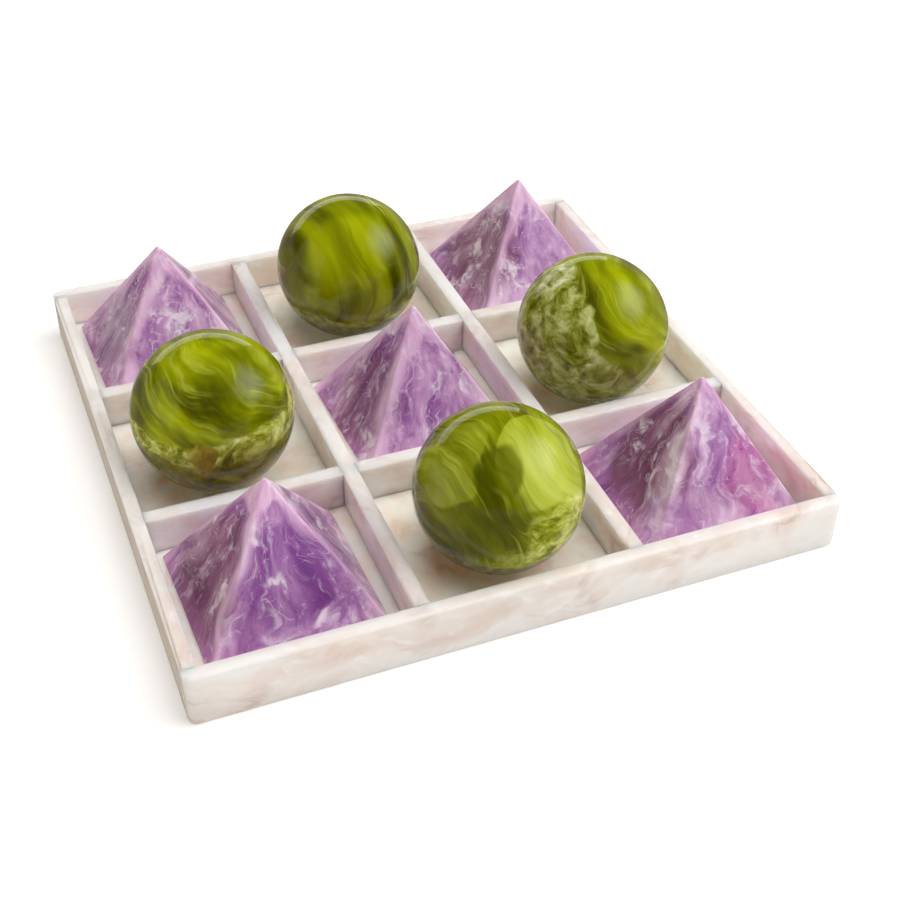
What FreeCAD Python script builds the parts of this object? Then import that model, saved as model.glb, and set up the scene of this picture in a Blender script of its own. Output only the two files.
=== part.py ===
import FreeCAD, Part
import Sketcher
import os

# Tic tac toe set: an open square tray of bonded slabs, divided into three by three cells, with
# five loose pyramids and four loose balls.
#
# Frame: +Z up, +X to the right and +Y to the back, as a player sees it from the front edge.
# The origin is the middle of the tray's underside, and all lengths are in millimetres.

# ---------------------------------------------------------------- driving dimensions

DIMENSIONS = [
    ("TraySide", 305.0, "outside of the tray, both ways"),
    ("TrayHeight", 27.0, "underside of the tray to its rim"),
    ("WallThickness", 6.5, "outer walls"),
    ("FloorThickness", 8.0, "floor slab inside the walls"),
    ("DividerThickness", 7.5, "dividers between the cells"),
    ("CornerRadius", 4.0, "upright corners of the tray"),
    ("OuterEdgeRadius", 1.2, "eased outer edges of the walls, top and bottom"),
    ("InnerEdgeRadius", 0.6, "eased top edges inside the tray"),
    ("PyramidBase", 81.0, "side of a pyramid's square base"),
    ("PyramidHeight", 64.0, "base of a pyramid to its tip"),
    ("PyramidTip", 1.4, "flat across a pyramid's tip, before its edges are eased"),
    ("PyramidEdgeRadius", 0.7, "eased edges of a pyramid"),
    ("BallDiameter", 76.0, "a ball"),
    ("BallGap", 0.3, "clearance between a ball and the floor under it"),
]

# Lengths worked out from the driving ones, as expressions on the sheet.
INNER_SIDE = "(Sizes.TraySide - 2 * Sizes.WallThickness)"
CELL = "((Sizes.TraySide - 2 * Sizes.WallThickness - 2 * Sizes.DividerThickness) / 3)"
PITCH = f"({CELL} + Sizes.DividerThickness)"
WALL_CENTRE = "((Sizes.TraySide - Sizes.WallThickness) / 2)"
DIVIDER_HEIGHT = "(Sizes.TrayHeight - Sizes.FloorThickness)"

# Columns run left to right and rows front to back, and both count from the middle cell.
COLUMNS = {"left": -1, "middle": 0, "right": 1}
SIDES = {"left": -1, "right": 1}
ENDS = {"front": -1, "back": 1}

# How each loose piece happens to lie in its cell: (node, column, row, right of the cell's middle,
# behind the cell's middle, turn to the left in degrees).
PYRAMIDS = [
    ("pyramid_front_left", -1, -1, -0.5, 3.0, 1.5),
    ("pyramid_front_right", 1, -1, 4.0, 1.0, 0.5),
    ("pyramid_centre", 0, 0, 2.0, 3.0, 2.0),
    ("pyramid_back_left", -1, 1, -0.5, 2.0, 1.5),
    ("pyramid_back_right", 1, 1, 1.0, 2.5, 3.0),
]
BALLS = [
    ("ball_front", 0, -1, 0.0, -9.0),
    ("ball_left", -1, 0, -2.5, -9.5),
    ("ball_right", 1, 0, -7.0, -11.0),
    ("ball_back", 0, 1, -2.5, -9.5),
]

MODEL_TOLERANCE = 1e-4
MM3_IN_CM3 = 1000

doc = FreeCAD.newDocument("TicTacToeSet")


# ---------------------------------------------------------------- helpers

def make_sheet():
    """The spreadsheet that holds every driving dimension under an alias."""
    sheet = doc.addObject("Spreadsheet::Sheet", "Sizes")
    for row, (alias, value, meaning) in enumerate(DIMENSIONS, start=1):
        sheet.set(f"A{row}", meaning)
        sheet.set(f"B{row}", str(value))
        sheet.setAlias(f"B{row}", alias)
    doc.recompute()
    return sheet


def origin_plane(body, role):
    """One of a body's own origin planes, such as XY_Plane."""
    return next(item for item in body.Origin.OriginFeatures if item.Role == role)


def new_body(label):
    """An empty body whose label names the piece and its file."""
    body = doc.addObject("PartDesign::Body", label)
    body.Label = label
    return body


def centred_rectangle(body, width, depth):
    """A sketch on the body's XY plane: a rectangle about the origin, with both sides driven."""
    rough = 10.0  # half a side, until the constraints drive it
    sketch = body.newObject("Sketcher::SketchObject", "Outline")
    sketch.AttachmentSupport = [(origin_plane(body, "XY_Plane"), "")]
    sketch.MapMode = "FlatFace"
    corners = [(-1, -1), (1, -1), (1, 1), (-1, 1)]
    points = [FreeCAD.Vector(rough * x, rough * y, 0) for x, y in corners]
    for start, end in zip(points, points[1:] + points[:1]):
        sketch.addGeometry(Part.LineSegment(start, end), False)
    for side in range(4):
        sketch.addConstraint(Sketcher.Constraint("Coincident", side, 2, (side + 1) % 4, 1))
    for side in range(4):
        direction = "Horizontal" if side % 2 == 0 else "Vertical"
        sketch.addConstraint(Sketcher.Constraint(direction, side))
    sketch.addConstraint(Sketcher.Constraint("Symmetric", 0, 1, 1, 2, -1, 1))
    wide = sketch.addConstraint(Sketcher.Constraint("DistanceX", 0, 1, 0, 2, 2 * rough))
    deep = sketch.addConstraint(Sketcher.Constraint("DistanceY", 1, 1, 1, 2, 2 * rough))
    sketch.renameConstraint(wide, "Width")
    sketch.renameConstraint(deep, "Depth")
    sketch.setExpression("Constraints.Width", width)
    sketch.setExpression("Constraints.Depth", depth)
    return sketch


def slab(label, width, depth, height, x="0", y="0", z="0"):
    """A rectangular slab padded up from its sketch, with its middle at x, y and its foot at z."""
    body = new_body(label)
    pad = body.newObject("PartDesign::Pad", "Pad")
    pad.Profile = centred_rectangle(body, width, depth)
    pad.setExpression("Length", height)
    doc.recompute()
    place(body, x, y, z)
    return body


def place(piece, x, y, z, turn=0.0):
    """Turn a piece about the upright, and drive its position from the sheet."""
    upright = FreeCAD.Rotation(FreeCAD.Vector(0, 0, 1), turn)
    piece.Placement = FreeCAD.Placement(FreeCAD.Vector(0, 0, 0), upright)
    for axis, expression in zip("xyz", (x, y, z)):
        piece.setExpression(f".Placement.Base.{axis}", expression)


def ease(body, name, radius, wanted):
    """Round the edges of the body's last feature that the test picks out."""
    doc.recompute()
    base = body.Tip
    picked = [f"Edge{number}" for number, edge in enumerate(base.Shape.Edges, start=1) if wanted(edge)]
    fillet = body.newObject("PartDesign::Fillet", name)
    fillet.Base = (base, picked)
    fillet.setExpression("Radius", radius)
    doc.recompute()
    return fillet


def lies_at(edge, axis, value):
    """True if every end of the edge has this coordinate."""
    return all(abs(getattr(vertex.Point, axis) - value) < MODEL_TOLERANCE for vertex in edge.Vertexes)


# ---------------------------------------------------------------- tray

def end_wall(label, outward):
    """A front or back wall: full width, with both of the tray's upright corners on its outer side."""
    body = slab(label, "Sizes.TraySide", "Sizes.WallThickness", "Sizes.TrayHeight",
                y=f"{outward} * {WALL_CENTRE}")
    height = sheet.TrayHeight
    outer = outward * sheet.WallThickness / 2

    def outer_upright(edge):
        return lies_at(edge, "y", outer) and not lies_at(edge, "z", 0) and not lies_at(edge, "z", height)

    def outer_rim(edge):
        level = lies_at(edge, "z", 0) or lies_at(edge, "z", height)
        return level and not lies_at(edge, "y", -outer)

    def inner_rim(edge):
        return lies_at(edge, "z", height) and lies_at(edge, "y", -outer)

    ease(body, "Corners", "Sizes.CornerRadius", outer_upright)
    ease(body, "OuterEdges", "Sizes.OuterEdgeRadius", outer_rim)
    ease(body, "InnerEdge", "Sizes.InnerEdgeRadius", inner_rim)
    return body


def side_wall(label, outward):
    """A left or right wall, butted between the front and back walls."""
    body = slab(label, "Sizes.WallThickness", INNER_SIDE, "Sizes.TrayHeight",
                x=f"{outward} * {WALL_CENTRE}")
    height = sheet.TrayHeight
    outer = outward * sheet.WallThickness / 2

    def outer_rim(edge):
        level = lies_at(edge, "z", 0) or lies_at(edge, "z", height)
        return level and lies_at(edge, "x", outer)

    def inner_rim(edge):
        return lies_at(edge, "z", height) and lies_at(edge, "x", -outer)

    ease(body, "OuterEdges", "Sizes.OuterEdgeRadius", outer_rim)
    ease(body, "InnerEdge", "Sizes.InnerEdgeRadius", inner_rim)
    return body


def divider(label, width, depth, x, y, long_axis):
    """A divider standing on the floor slab, with its two long top edges eased."""
    body = slab(label, width, depth, DIVIDER_HEIGHT, x=x, y=y, z="Sizes.FloorThickness")
    top = sheet.TrayHeight - sheet.FloorThickness

    def long_rim(edge):
        along = abs(getattr(edge.Vertexes[1].Point - edge.Vertexes[0].Point, long_axis))
        return lies_at(edge, "z", top) and along > MODEL_TOLERANCE

    ease(body, "TopEdges", "Sizes.InnerEdgeRadius", long_rim)
    return body


def make_tray():
    """The floor slab, four walls, two long dividers and six short ones."""
    pieces = [slab("base_panel", INNER_SIDE, INNER_SIDE, "Sizes.FloorThickness")]
    for end, end_sign in ENDS.items():
        pieces.append(end_wall(f"wall_{end}", end_sign))
    for side, side_sign in SIDES.items():
        pieces.append(side_wall(f"wall_{side}", side_sign))
        pieces.append(divider(f"divider_long_{side}", "Sizes.DividerThickness", INNER_SIDE,
                              f"{side_sign} * {PITCH} / 2", "0", "y"))
    for end, end_sign in ENDS.items():
        for place_name, column in COLUMNS.items():
            pieces.append(divider(f"divider_{end}_{place_name}", CELL, "Sizes.DividerThickness",
                                  f"{column} * {PITCH}", f"{end_sign} * {PITCH} / 2", "x"))
    return pieces


# ---------------------------------------------------------------- playing pieces

def make_pyramid(label, column, row, right, behind, turn):
    """A solid square pyramid standing on the floor of its cell, with every edge eased."""
    body = new_body(label)
    wedge = body.newObject("PartDesign::AdditiveWedge", "Pyramid")
    wedge.AttachmentSupport = [(origin_plane(body, "XZ_Plane"), "")]
    wedge.MapMode = "FlatFace"
    wedge.setExpression("Ymax", "Sizes.PyramidHeight")
    wedge.Ymin = 0
    for low, high in (("Xmin", "Xmax"), ("Zmin", "Zmax")):
        wedge.setExpression(low, "-Sizes.PyramidBase / 2")
        wedge.setExpression(high, "Sizes.PyramidBase / 2")
    for low, high in (("X2min", "X2max"), ("Z2min", "Z2max")):
        wedge.setExpression(low, "-Sizes.PyramidTip / 2")
        wedge.setExpression(high, "Sizes.PyramidTip / 2")
    ease(body, "EasedEdges", "Sizes.PyramidEdgeRadius", lambda edge: True)
    place(body, f"{column} * {PITCH} + {right}", f"{row} * {PITCH} + {behind}",
          "Sizes.FloorThickness", turn)
    return body


def make_ball(label, column, row, right, behind):
    """A solid ball resting on the floor of its cell."""
    ball = doc.addObject("Part::Sphere", label)
    ball.Label = label
    ball.setExpression("Radius", "Sizes.BallDiameter / 2")
    place(ball, f"{column} * {PITCH} + {right}", f"{row} * {PITCH} + {behind}",
          "Sizes.FloorThickness + Sizes.BallGap + Sizes.BallDiameter / 2")
    return ball


# ---------------------------------------------------------------- checks and export

def check_and_export(pieces):
    """Stop if anything failed to build, then write one file for each piece."""
    doc.recompute()
    for item in doc.Objects:
        bad = [state for state in item.State if state in ("Invalid", "Error")]
        if bad:
            raise RuntimeError(f"{item.Label} is {bad}")
    for piece in pieces:
        if piece.Shape.isNull() or not piece.Shape.isValid() or len(piece.Shape.Solids) != 1:
            raise RuntimeError(f"{piece.Label} is not one valid solid")
    os.makedirs("parts", exist_ok=True)
    for piece in pieces:
        piece.Shape.exportStep(f"parts/{piece.Label}.step")
        box = piece.Shape.BoundBox
        print(f"{piece.Label:22s} volume {piece.Shape.Volume / MM3_IN_CM3:8.2f} cm3   "
              f"z {box.ZMin:6.2f} to {box.ZMax:6.2f}")


sheet = make_sheet()
parts = make_tray()
parts += [make_pyramid(*lie) for lie in PYRAMIDS]
parts += [make_ball(*lie) for lie in BALLS]
check_and_export(parts)
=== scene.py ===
"""The looks of a tic tac toe set in hand-polished marbled cast resin.

A milky white tray of bonded slabs holds five violet pyramids and four olive green balls, one to a
cell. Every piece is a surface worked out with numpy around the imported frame, in metres.
"""

import logging
import math
from dataclasses import dataclass, field
from enum import Enum
from typing import Any, Sequence

import bpy
import numpy as np
from mathutils import Euler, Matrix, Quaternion, Vector


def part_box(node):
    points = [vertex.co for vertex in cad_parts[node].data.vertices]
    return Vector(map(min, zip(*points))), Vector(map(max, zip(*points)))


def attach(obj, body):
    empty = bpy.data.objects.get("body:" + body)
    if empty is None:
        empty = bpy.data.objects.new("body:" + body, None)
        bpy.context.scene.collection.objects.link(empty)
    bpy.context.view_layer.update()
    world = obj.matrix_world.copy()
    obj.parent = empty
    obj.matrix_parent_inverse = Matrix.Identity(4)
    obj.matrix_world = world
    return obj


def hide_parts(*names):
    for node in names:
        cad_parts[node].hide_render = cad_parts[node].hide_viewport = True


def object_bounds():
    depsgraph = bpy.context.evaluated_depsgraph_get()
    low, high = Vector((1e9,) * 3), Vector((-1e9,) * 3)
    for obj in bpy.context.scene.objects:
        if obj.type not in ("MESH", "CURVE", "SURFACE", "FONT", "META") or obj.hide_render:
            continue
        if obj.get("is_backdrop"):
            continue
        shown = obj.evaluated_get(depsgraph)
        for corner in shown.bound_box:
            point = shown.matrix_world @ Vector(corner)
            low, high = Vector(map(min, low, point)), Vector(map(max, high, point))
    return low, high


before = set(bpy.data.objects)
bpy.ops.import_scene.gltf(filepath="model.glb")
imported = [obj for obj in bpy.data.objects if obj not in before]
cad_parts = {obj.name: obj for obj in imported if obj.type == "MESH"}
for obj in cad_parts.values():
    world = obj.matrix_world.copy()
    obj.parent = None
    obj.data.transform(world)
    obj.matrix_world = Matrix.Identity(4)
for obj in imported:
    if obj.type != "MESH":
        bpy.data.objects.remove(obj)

LOG = logging.getLogger("tic_tac_toe_set")
MM = 0.001
FACE_SHARES = (0.5, 0.97)  # where rings lie on a flat face, as shares of the way out to its edge
FIRST_PYRAMID_DRAW = 1  # the seeds of the hand finishing, counted on from one piece to the next
FIRST_BALL_DRAW = 11

Colour = tuple[float, float, float, float]
Stops = tuple[tuple[float, str], ...]
Socket = bpy.types.NodeSocket


class Slot(Enum):
    """The record's material slots."""

    TRAY = "tray_resin"
    PYRAMID = "pyramid_resin"
    BALL = "ball_resin"


class Side(Enum):
    """The four sides of a slab, in the order that its outline meets them."""

    FRONT = 0
    RIGHT = 1
    BACK = 2
    LEFT = 3


class Run(Enum):
    """The way that a slab of the tray runs."""

    ACROSS = "left to right"
    DEEP = "front to back"


class Layer(Enum):
    """Where in the noise each layer of the marbling is read, so that no two in a piece look alike.

    A second name for a place is another resin's use of it.
    """

    WIDE_STIR = 1.0
    FINE_STIR = 2.0
    BODY = 3.0
    FROTH = 4.0
    FOLDS = FROTH
    VEINS = 5.0
    MILK = 6.0
    VEINED = MILK
    FIBRES = 7.0
    COMBED = FIBRES
    ROSE = 8.0
    CURL_STIR = 9.0
    SOFT_STIR = 10.0
    CREASES = 12.0
    COMBED_PATCHES = CREASES
    WIDE_LINES = 15.0
    NARROW_LINES = 16.0
    BUFFING = 31.0


# ---------------------------------------------------------------- surfaces

def flat_stations(count: int, narrow: float = 0.012) -> np.ndarray:
    """Places along a flat stretch, with a narrow first and last step that keep the flat's shading flat.

    Args:
        count: the number of even steps between the two narrow ones.
        narrow: the narrow step, as a share of the stretch.

    Returns:
        Shares of the stretch, above 0 and under 1.
    """
    return np.linspace(narrow, 1.0 - narrow, count + 1)


def rounded_outline(half: Sequence[float], corners: Sequence[float], eases: Sequence[float],
                    arc_steps: int, flat_steps: int) -> tuple[np.ndarray, np.ndarray, np.ndarray]:
    """The plan of a slab: a rectangle about the origin with an arc at each corner, anticlockwise.

    A point on a corner's arc is the arc's centre plus its radius times (cosine, sine) of the angle,
    and a point on a side is a share of the way from one arc's end to the next arc's start.

    Args:
        half: half of the rectangle's width and depth.
        corners: the arcs' radii, starting at the front left corner.
        eases: the radius that each side's long edges are eased to, in the order of Side.
        arc_steps: steps along one arc.
        flat_steps: even steps along one side.

    Returns:
        The points, their outward normals and the ease radius at each point.
    """
    signs = np.array([(-1, -1), (1, -1), (1, 1), (-1, 1)], float)
    share = np.linspace(0.0, 1.0, arc_steps + 1)
    arcs, arc_normals, arc_eases = [], [], []
    for corner, sign in enumerate(signs):
        angle = math.pi + math.pi / 2 * (corner + share)
        normal = np.stack([np.cos(angle), np.sin(angle)], axis=1)
        centre = sign * (np.asarray(half) - corners[corner])
        arcs.append(centre + corners[corner] * normal)
        arc_normals.append(normal)
        arc_eases.append((1 - share) * eases[corner - 1] + share * eases[corner])
    points, normals, radii = [], [], []
    along = flat_stations(flat_steps)[:, None]
    for corner in range(len(signs)):
        start, end = arcs[corner][-1], arcs[(corner + 1) % len(signs)][0]
        points += [arcs[corner], start + along * (end - start)]
        normals += [arc_normals[corner], np.repeat(arc_normals[corner][-1:], len(along), axis=0)]
        radii += [arc_eases[corner], np.full(len(along), eases[corner])]
    return np.concatenate(points), np.concatenate(normals), np.concatenate(radii)


def closed_skin(rings: np.ndarray) -> tuple[np.ndarray, list[tuple[int, ...]]]:
    """Vertices and faces of a closed skin made of a stack of rings, from its low pole to its high one.

    Args:
        rings: points in an array of rings, points and coordinates. The first and last rings are
            each drawn together to a pole at their middle.

    Returns:
        The vertices and the faces, with quads between rings and a fan of triangles at each pole.
    """
    count, around = rings.shape[:2]
    poles = np.array([rings[0].mean(axis=0), rings[-1].mean(axis=0)])
    vertices = np.concatenate([rings.reshape(-1, 3), poles])
    ring = np.arange(count - 1)[:, None] * around
    here = np.arange(around)[None, :]
    there = (here + 1) % around
    quads = np.stack([ring + here, ring + there, ring + around + there, ring + around + here], axis=-1)
    low, high = count * around, count * around + 1
    top = (count - 1) * around
    low_fan = np.stack([there[0], here[0], np.full(around, low)], axis=-1)
    high_fan = np.stack([top + here[0], top + there[0], np.full(around, high)], axis=-1)
    faces = quads.reshape(-1, 4).tolist() + low_fan.tolist() + high_fan.tolist()
    return vertices, faces


def hand_finished(points: np.ndarray, reach: float, wavelength: float, seed: int) -> np.ndarray:
    """Points moved as a polisher's hand leaves them, very slightly out of true.

    Each coordinate gains the reach times the sine of a slanted run through space, whose direction
    and phase come from a seeded draw.

    Args:
        points: points in an array whose last axis is the coordinates.
        reach: the furthest that a coordinate moves.
        wavelength: the length of one wave.
        seed: the draw's seed.

    Returns:
        The moved points.
    """
    draw = np.random.default_rng(seed)
    directions = draw.normal(size=(3, 3))
    directions /= np.linalg.norm(directions, axis=1, keepdims=True)
    phases = draw.uniform(0, 2 * math.pi, size=3)
    waves = np.sin(points @ directions.T * (2 * math.pi / wavelength) + phases)
    return points + reach * waves


def add_piece(name: str, rings: np.ndarray, material: bpy.types.Material) -> bpy.types.Object:
    """A smooth-shaded object at the origin whose mesh is the closed skin of some rings.

    Args:
        name: the piece's name.
        rings: the skin's rings, in metres in the frame.
        material: the piece's finish.

    Returns:
        The new object, linked to the scene.
    """
    vertices, faces = closed_skin(rings)
    mesh = bpy.data.meshes.new(name)
    mesh.from_pydata(vertices, [], faces)
    mesh.shade_smooth()
    mesh.materials.append(material)
    mesh.validate()
    piece = bpy.data.objects.new(name, mesh)
    bpy.context.scene.collection.objects.link(piece)
    return piece


# ---------------------------------------------------------------- materials

def linear(code: str) -> Colour:
    """A colour's linear channels with full opacity, from its sRGB hex code.

    A channel c up to 0.04045 becomes c / 12.92, and one above it ((c + 0.055) / 1.055) to the power 2.4.

    Args:
        code: the colour, as a hash and six hex digits.

    Returns:
        Red, green, blue and opacity, from 0 to 1.
    """
    channels = [int(code[place:place + 2], 16) / 255 for place in (1, 3, 5)]
    red, green, blue = (c / 12.92 if c <= 0.04045 else ((c + 0.055) / 1.055) ** 2.4 for c in channels)
    return (red, green, blue, 1.0)


def add_node(tree: bpy.types.NodeTree, kind: str, inputs: dict[Any, Any] | None = None,
             stops: Sequence[tuple[float, str]] = (), **settings: Any) -> bpy.types.Node:
    """Add one node with its settings, colour stops and inputs.

    Args:
        tree: the node tree.
        kind: the node's type.
        inputs: each input's name or number, with a value for it or an output to link to it.
        stops: a colour ramp's stops, each a position and an sRGB hex code.
        settings: the node's own properties.

    Returns:
        The new node.
    """
    node = tree.nodes.new(kind)
    for name, value in settings.items():
        setattr(node, name, value)
    for key, value in (inputs or {}).items():
        if isinstance(value, bpy.types.NodeSocket):
            tree.links.new(value, node.inputs[key])
        else:
            node.inputs[key].default_value = value
    for number, (position, code) in enumerate(stops):
        elements = node.color_ramp.elements
        element = elements[number] if number < len(elements) else elements.new(position)
        element.position = position
        element.color = linear(code)
    return node


# The pours' colours, each a run of heights in the noise and the sRGB colour that the resin has there.
MILKY: Stops = ((0.30, "#E6D8D0"), (0.43, "#F0E6E0"), (0.55, "#F6F0EB"), (0.75, "#FBF8F4"))
# Painted shade: the floor slab's warmer white, for the warm shade inside the cells.
WARM_SHADE_WHITE: Stops = ((0.30, "#F0DED0"), (0.43, "#F7EADF"), (0.55, "#FBF3EA"), (0.75, "#FDF9F2"))
VIOLET: Stops = (
    (0.33, "#7E4A8C"), (0.44, "#9A62A2"), (0.53, "#B27EB6"), (0.62, "#CAA0CA"), (0.75, "#E6CEE4"))
LILAC: Stops = (
    (0.33, "#8C5298"), (0.44, "#AE7CB4"), (0.53, "#C89CC8"), (0.62, "#DFBDDC"), (0.75, "#F2DEEF"))
PALE_LILAC: Stops = (
    (0.33, "#9A62A8"), (0.44, "#BC90C2"), (0.53, "#D6B2D6"), (0.62, "#E8CEE6"), (0.75, "#F6EAF5"))
MAGENTA: Stops = ((0.32, "#AE5A9E"), (0.48, "#C87CB4"), (0.62, "#DA9CC8"), (0.76, "#EECBE4"))
# Painted shade: the plum laid on each pyramid's left face, which is turned away from the key light.
PAINTED_SHADE_PLUM: Stops = ((0.33, "#68344E"), (0.46, "#84506E"), (0.56, "#9A6A86"), (0.68, "#B894AA"))
# Painted shade with a painted grey reflection haze, on the back left pyramid's left face.
PAINTED_SHADE_GREY_LILAC: Stops = ((0.33, "#84648A"), (0.46, "#A088A6"), (0.56, "#B4A2BA"), (0.68, "#CCC0D0"))
DEEP_VIOLET: Stops = ((0.33, "#6A3880"), (0.46, "#864C96"), (0.56, "#9A64A6"), (0.68, "#B88AC0"))
ROSE_FOOT: Stops = ((0.35, "#9C5490"), (0.52, "#AC689E"), (0.68, "#C088B2"))
# Painted glow: pale rose for the pyramids' ridges and tips, standing for light coming through thin resin.
GLOW_ROSE: Stops = ((0.35, "#D9A9D2"), (0.55, "#EBCBE6"), (0.7, "#F8ECF6"))
# Painted glow for the front left pyramid's tip.
TIP_GLOW_ROSE: Stops = ((0.35, "#DDAED0"), (0.52, "#ECCCE4"), (0.68, "#F8ECF5"))
WHITE_PUFF: Stops = ((0.38, "#A070AC"), (0.47, "#C8A2CE"), (0.54, "#E8D6EA"), (0.64, "#FAF4FA"))
OLIVE: Stops = (
    (0.34, "#424400"), (0.43, "#626600"), (0.51, "#7E8600"), (0.60, "#9AA400"), (0.72, "#B6BE18"))
FROTH: Stops = ((0.38, "#5C5C06"), (0.46, "#92961C"), (0.54, "#C2C85C"), (0.66, "#E8EAA8"))
GREY_FROTH: Stops = ((0.36, "#565808"), (0.45, "#80842A"), (0.54, "#AAB058"), (0.68, "#DADEA6"))
PALE_FROTH: Stops = ((0.36, "#7C8230"), (0.46, "#AEB470"), (0.54, "#D2D6A6"), (0.66, "#F0F2DA"))
LIME_VEIL: Stops = ((0.36, "#8E980A"), (0.50, "#A6B02C"), (0.66, "#C2CC5C"))
LIME: Stops = ((0.36, "#828A00"), (0.48, "#969E00"), (0.62, "#A8B208"))
DARK_OLIVE: Stops = ((0.36, "#3E4200"), (0.50, "#525800"), (0.70, "#707800"))
# Painted shade: brown olive laid low down on the balls, darker towards the bottom.
PAINTED_SHADE_OLIVE: Stops = ((0.36, "#463E02"), (0.50, "#605608"), (0.66, "#8A8222"))
AMBER: Stops = ((0.36, "#725E04"), (0.50, "#8E7C08"), (0.66, "#A89A20"))


@dataclass(frozen=True)
class Span:
    """A smooth rise from 0 at start to a strength at end, or a fall where end is the lower one."""

    start: float
    end: float
    strength: float = 1.0

    def inputs(self, value: Socket) -> dict[str, Any]:
        """What a node that maps a range takes in to follow this span."""
        return {"Value": value, "From Min": self.start, "From Max": self.end, "To Max": self.strength}


@dataclass
class Marbling:
    """Draws the layers of one piece's marbling in its node tree, with every length in millimetres.

    The pattern is a solid one: it runs through the piece, so it carries on over edges as poured
    resin does. Coordinates are the object's, centred on the piece and turned with it.
    """

    tree: bpy.types.NodeTree
    centre: Vector
    seed: float
    turn_deg: float = 0.0
    point: Socket = field(init=False)

    def __post_init__(self) -> None:
        """Centre the piece's own coordinates, turn them square to it and make them millimetres."""
        place = add_node(self.tree, "ShaderNodeTexCoord").outputs["Object"]
        turn = Euler((0.0, 0.0, math.radians(-self.turn_deg)))
        middle = self.centre / MM
        middle.rotate(turn)
        mapping = add_node(self.tree, "ShaderNodeMapping", {
            "Vector": place, "Location": tuple(-middle), "Rotation": tuple(turn), "Scale": (1 / MM,) * 3,
        })
        self.point = mapping.outputs["Vector"]

    def lumps(self, point: Socket, layer: Layer, size: float, detail: float,
              roughness: float = 0.5) -> Socket:
        """Soft lumps in the resin, from 0 to 1 and mostly near a half.

        Args:
            point: where to read them.
            layer: the part of the noise that they are read from.
            size: the size of the largest lumps.
            detail: how many finer layers they have.
            roughness: how strong the finer layers are.

        Returns:
            The lumps' height.
        """
        return add_node(self.tree, "ShaderNodeTexNoise", {
            "Vector": point, "W": self.seed + layer.value, "Scale": 1 / size, "Detail": detail,
            "Roughness": roughness,
        }, noise_dimensions="4D").outputs["Fac"]

    def patches(self, point: Socket, layer: Layer, size: float, detail: float, span: Span) -> Socket:
        """Where such lumps rise over a span of heights: 0 at its start, and its strength at its end."""
        height = self.lumps(point, layer, size, detail)
        return add_node(self.tree, "ShaderNodeMapRange", span.inputs(height),
                        interpolation_type="SMOOTHSTEP").outputs["Result"]

    def threads(self, point: Socket, layer: Layer, size: float, detail: float, width: float) -> Socket:
        """Thin threads round such lumps, where their height is a half.

        Args:
            point: where to read them.
            layer: the part of the noise that they are read from.
            size: the size of the largest lumps, and so of the loops.
            detail: how many finer layers the lumps have.
            width: how far from a half the height is where the thread ends.

        Returns:
            1 on the thread, falling to 0 beside it.
        """
        height = self.lumps(point, layer, size, detail)
        off = add_node(self.tree, "ShaderNodeMath", {0: height, 1: 0.5}, operation="SUBTRACT").outputs[0]
        away = add_node(self.tree, "ShaderNodeMath", {0: off}, operation="ABSOLUTE").outputs[0]
        return add_node(self.tree, "ShaderNodeMapRange", Span(width, 0.0).inputs(away),
                        interpolation_type="SMOOTHSTEP").outputs["Result"]

    def stirred(self, point: Socket, layer: Layer, size: float, reach: float) -> Socket:
        """A point carried along as the stirred resin was.

        The point gains twice the reach times a smooth noise's three values, each less a half.

        Args:
            point: where to read it.
            layer: the part of the noise that carries it along.
            size: the size of the stir's eddies.
            reach: the furthest that they carry the resin.

        Returns:
            The place to read the pattern at.
        """
        noise = add_node(self.tree, "ShaderNodeTexNoise", {
            "Vector": point, "W": self.seed + layer.value, "Scale": 1 / size, "Detail": 1.0,
            "Roughness": 0.4,
        }, noise_dimensions="4D")
        away = add_node(self.tree, "ShaderNodeVectorMath", {0: noise.outputs["Color"], 1: (0.5, 0.5, 0.5)},
                        operation="SUBTRACT")
        moved = add_node(self.tree, "ShaderNodeVectorMath",
                         {0: away.outputs[0], 1: (2 * reach,) * 3, 2: point}, operation="MULTIPLY_ADD")
        return moved.outputs[0]

    def fanned(self, point: Socket, source: Sequence[float], width: float, stretch: float) -> Socket:
        """The pattern drawn out in a fan from a source, as resin runs when it is poured in there.

        With v the way from the source to the point and r its length, the point read is v times
        (width / r + 1 / stretch).

        Args:
            point: where to read it.
            source: where the fan starts.
            width: how far from the source the strands have their true width.
            stretch: how many times longer than wide the strands are.

        Returns:
            The place to read the pattern at.
        """
        way = add_node(self.tree, "ShaderNodeVectorMath", {0: point, 1: tuple(source)},
                       operation="SUBTRACT").outputs[0]
        length = add_node(self.tree, "ShaderNodeVectorMath", {0: way}, operation="LENGTH").outputs["Value"]
        narrowing = add_node(self.tree, "ShaderNodeMath", {0: width, 1: length}, operation="DIVIDE")
        scale = add_node(self.tree, "ShaderNodeMath", {0: narrowing.outputs[0], 1: 1 / stretch},
                         operation="ADD")
        return add_node(self.tree, "ShaderNodeVectorMath", {0: way, "Scale": scale.outputs[0]},
                        operation="SCALE").outputs[0]

    def in_sheets(self, point: Socket, axis: Sequence[float], stretch: float) -> Socket:
        """The pattern drawn out into sheets square to an axis, as thin pours lie on each other.

        With h how far the point lies along the axis, the point read is h times the axis plus the
        point over the stretch. The sheets cut a ball in long streaks, and lie open at its two ends.

        Args:
            point: where to read it.
            axis: the way through the sheets.
            stretch: how many times wider than thick the sheets are.

        Returns:
            The place to read the pattern at.
        """
        unit = tuple(Vector(axis).normalized())
        through = add_node(self.tree, "ShaderNodeVectorMath", {0: point, 1: unit},
                           operation="DOT_PRODUCT").outputs["Value"]
        thin = add_node(self.tree, "ShaderNodeVectorMath", {0: unit, "Scale": through},
                        operation="SCALE").outputs[0]
        return add_node(self.tree, "ShaderNodeVectorMath", {0: point, 1: (1 / stretch,) * 3, 2: thin},
                        operation="MULTIPLY_ADD").outputs[0]

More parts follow.
